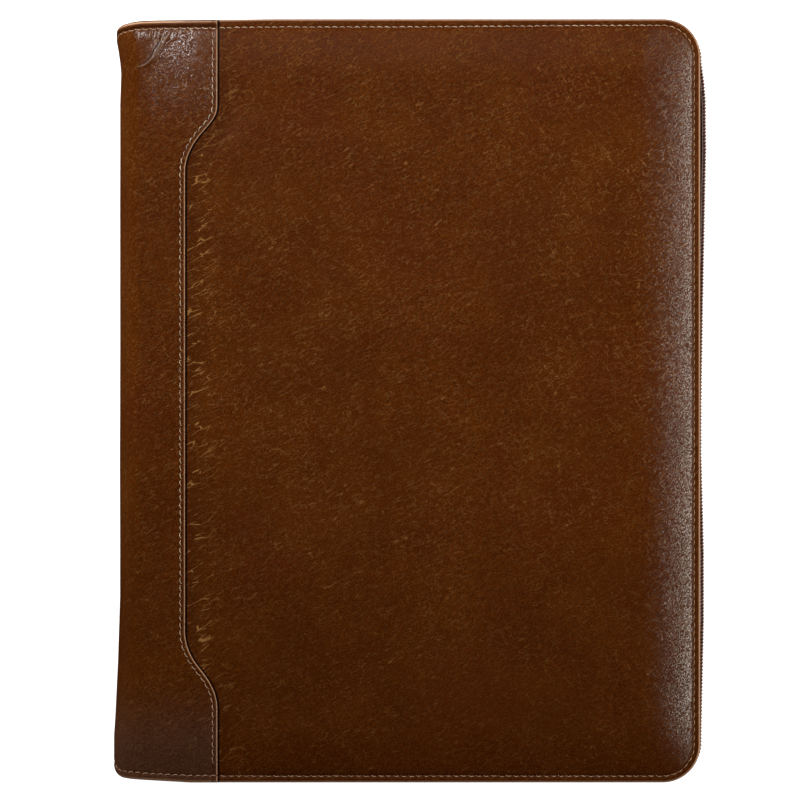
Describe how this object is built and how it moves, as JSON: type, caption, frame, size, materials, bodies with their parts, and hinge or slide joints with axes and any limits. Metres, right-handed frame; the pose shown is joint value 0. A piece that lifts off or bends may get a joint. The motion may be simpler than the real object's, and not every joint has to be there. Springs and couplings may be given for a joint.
{
  "type": "leather document case",
  "caption": "Flat zip-round leather document case with padded covers, a wrap-round spine panel with a stepped edge, and a coil zip on three sides.",
  "frame": {"origin": "middle of the back cover's flat outer face, on the surface the case lies on", "axes": "+X from the spine to the zip side, +Y to the top edge, +Z through the thickness to the front cover"},
  "size_m": [0.2682, 0.345, 0.0324],
  "materials": {
    "cover_leather": "saddle-brown polished calf with fine grain, satin",
    "spine_leather": "saddle-brown polished calf with a burnished cut edge, satin",
    "zip_tape": "woven dark brown tape, matt",
    "zip_coil": "brown nylon coil, satin",
    "zip_metal": "antique brass, satin",
    "thread": "waxed beige thread"
  },
  "bodies": {
    "root": {"front_panel": "cover_leather", "back_panel": "cover_leather", "spine_panel": "spine_leather", "zip_tape_front": "zip_tape", "zip_tape_back": "zip_tape", "zip_coil": "zip_coil", "zip_slider": "zip_metal"}
  },
  "joints": []
}
